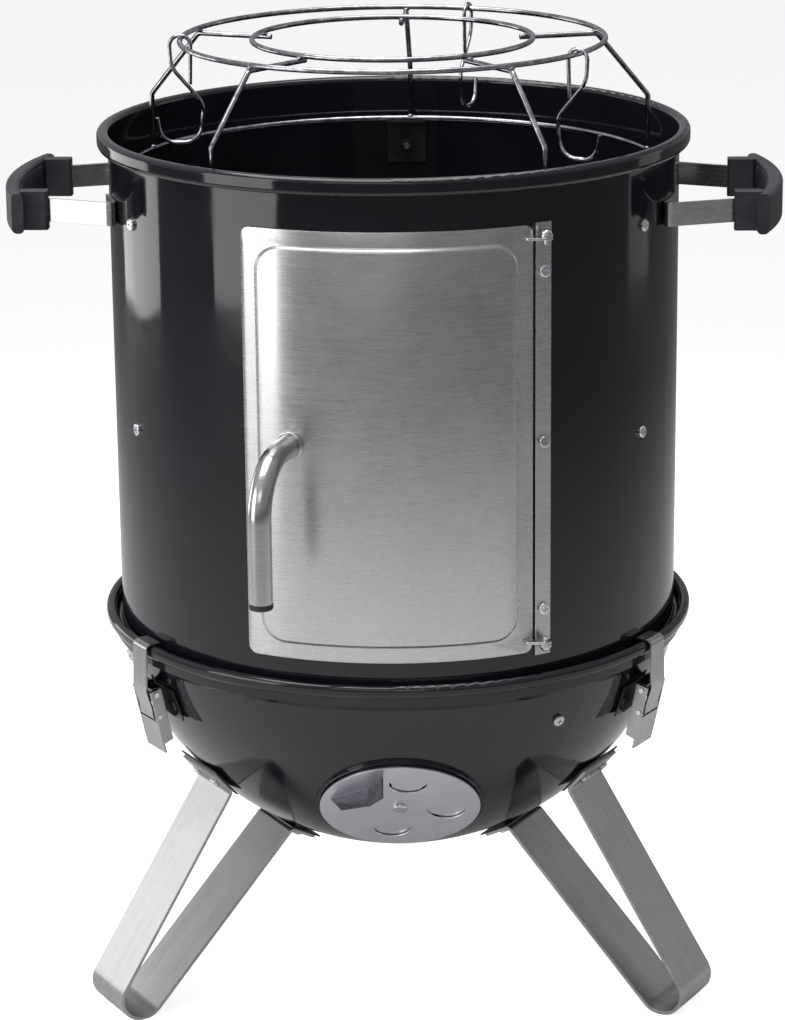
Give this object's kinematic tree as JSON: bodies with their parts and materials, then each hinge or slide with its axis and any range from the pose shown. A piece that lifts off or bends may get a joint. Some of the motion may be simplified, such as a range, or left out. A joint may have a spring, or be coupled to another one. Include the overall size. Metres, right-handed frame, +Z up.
{
  "type": "vertical water smoker",
  "caption": "Upright charcoal water smoker: enamelled bowl on strap legs, clamped barrel with a side door, side handles and a hanging rack with hooks.",
  "frame": {"origin": "on the ground, on the barrel's axis, midway between the three feet", "axes": "+Z up along the barrel's axis, -Y towards the side with the door, +X to the right seen from the door"},
  "size_m": [0.585, 0.5303, 0.7361],
  "materials": {
    "black_enamel": "glossy",
    "pan_enamel": "glossy",
    "black_coating": "satin",
    "stainless": "brushed",
    "bright_fasteners": "polished",
    "wire_chrome": "polished",
    "plated_steel": "satin",
    "black_plastic": "textured",
    "cap_rubber": "satin"
  },
  "bodies": {
    "root": {"bowl": "black_enamel", "barrel": "black_enamel", "hinge_strip": "stainless", "hinge_pins": "bright_fasteners", "hinge_strip_screws": "bright_fasteners", "left_handle_straps": "stainless", "right_handle_straps": "stainless", "left_grip": "black_plastic", "right_grip": "black_plastic", "handle_bolts": "bright_fasteners", "handle_nuts": "bright_fasteners", "upper_brackets": "plated_steel", "lower_brackets": "plated_steel", "bracket_screws": "bright_fasteners", "bracket_nuts": "bright_fasteners", "bowl_brackets": "plated_steel", "bowl_screws": "bright_fasteners", "bowl_nuts": "bright_fasteners", "charcoal_grate": "wire_chrome", "charcoal_ring": "plated_steel", "vent_plate": "stainless", "leg_front_left": "stainless", "leg_front_right": "stainless", "leg_back": "stainless", "leg_pads": "black_coating", "leg_bolts": "bright_fasteners", "leg_nuts": "bright_fasteners", "clamp_base_1": "black_coating", "clamp_base_2": "black_coating", "clamp_base_3": "black_coating", "clamp_pins": "bright_fasteners", "clamp_rivets": "black_coating"},
    "door": {"door_panel": "stainless", "handle_rose": "stainless"},
    "door_handle": {"door_handle_tube": "stainless", "handle_end_cap": "cap_rubber", "handle_spindle": "bright_fasteners", "door_latch_tongue": "plated_steel", "spindle_nut": "bright_fasteners"},
    "damper": {"vent_damper": "stainless", "vent_rivet": "bright_fasteners"},
    "lever_1": {"clamp_lever_1": "stainless", "hook_pin_1": "bright_fasteners"},
    "clamp_hook_1": {"clamp_hook_1": "stainless"},
    "lever_2": {"clamp_lever_2": "stainless", "hook_pin_2": "bright_fasteners"},
    "clamp_hook_2": {"clamp_hook_2": "stainless"},
    "lever_3": {"clamp_lever_3": "stainless", "hook_pin_3": "bright_fasteners"},
    "clamp_hook_3": {"clamp_hook_3": "stainless"},
    "pan": {"water_pan": "pan_enamel"},
    "grate": {"lower_grate": "wire_chrome"},
    "rack": {"rack_outer_ring": "wire_chrome", "rack_inner_ring": "wire_chrome", "rack_base_ring": "wire_chrome", "rack_wires": "wire_chrome"},
    "s_hook_1": {"s_hook_1": "wire_chrome"},
    "s_hook_2": {"s_hook_2": "wire_chrome"},
    "s_hook_3": {"s_hook_3": "wire_chrome"}
  },
  "joints": [
    {"name": "door_hinge", "type": "hinge", "parent": "root", "child": "door", "pos_m": [0.10685, -0.19517, 0.469], "axis": [0, 0, 1], "range_deg": [0, 120]},
    {"name": "handle_turn", "type": "hinge", "parent": "door", "child": "door_handle", "pos_m": [-0.08017, -0.21557, 0.472], "axis": [0.3486, 0.9373, 0], "range_deg": [0, 90]},
    {"name": "damper_turn", "type": "hinge", "parent": "root", "child": "damper", "pos_m": [0, -0.16256, 0.18208], "axis": [0, -0.7547, -0.6561], "range_deg": [0, 45]},
    {"name": "lever_1_turn", "type": "hinge", "parent": "root", "child": "lever_1", "pos_m": [-0.18934, -0.12062, 0.259], "axis": [-0.5373, 0.8434, 0], "range_deg": [0, 75]},
    {"name": "clamp_hook_1_turn", "type": "hinge", "parent": "lever_1", "child": "clamp_hook_1", "pos_m": [-0.18723, -0.11928, 0.241], "axis": [-0.5373, 0.8434, 0], "range_deg": [-97.5, 0]},
    {"name": "lever_2_turn", "type": "hinge", "parent": "root", "child": "lever_2", "pos_m": [0.18934, -0.12062, 0.259], "axis": [-0.5373, -0.8434, 0], "range_deg": [0, 75]},
    {"name": "clamp_hook_2_turn", "type": "hinge", "parent": "lever_2", "child": "clamp_hook_2", "pos_m": [0.18723, -0.11928, 0.241], "axis": [-0.5373, -0.8434, 0], "range_deg": [-97.5, 0]},
    {"name": "lever_3_turn", "type": "hinge", "parent": "root", "child": "lever_3", "pos_m": [0, 0.2245, 0.259], "axis": [1, 0, 0], "range_deg": [0, 75]},
    {"name": "clamp_hook_3_turn", "type": "hinge", "parent": "lever_3", "child": "clamp_hook_3", "pos_m": [0, 0.222, 0.241], "axis": [1, 0, 0], "range_deg": [-97.5, 0]},
    {"name": "pan_lift", "type": "slide", "parent": "root", "child": "pan", "axis": [0, 0, 1], "range_m": [0, 0.32]},
    {"name": "grate_lift", "type": "slide", "parent": "pan", "child": "grate", "axis": [0, 0, 1], "range_m": [0, 0.22]},
    {"name": "rack_lift", "type": "slide", "parent": "grate", "child": "rack", "axis": [0, 0, 1], "range_m": [0, 0.09]},
    {"name": "s_hook_1_swing", "type": "hinge", "parent": "rack", "child": "s_hook_1", "pos_m": [-0.15898, -0.00278, 0.731], "axis": [0.0175, -0.9998, 0], "range_deg": [-20, 20]},
    {"name": "s_hook_2_swing", "type": "hinge", "parent": "rack", "child": "s_hook_2", "pos_m": [0.13425, -0.0852, 0.731], "axis": [0.5358, 0.8443, 0], "range_deg": [-20, 20]},
    {"name": "s_hook_3_swing", "type": "hinge", "parent": "rack", "child": "s_hook_3", "pos_m": [0.05956, 0.14742, 0.731], "axis": [-0.9272, 0.3746, 0], "range_deg": [-20, 20]}
  ],
  "couplings": [
    {"joint": "clamp_hook_1_turn", "follows": "lever_1_turn", "ratio": -1.3},
    {"joint": "clamp_hook_2_turn", "follows": "lever_2_turn", "ratio": -1.3},
    {"joint": "clamp_hook_3_turn", "follows": "lever_3_turn", "ratio": -1.3}
  ]
}
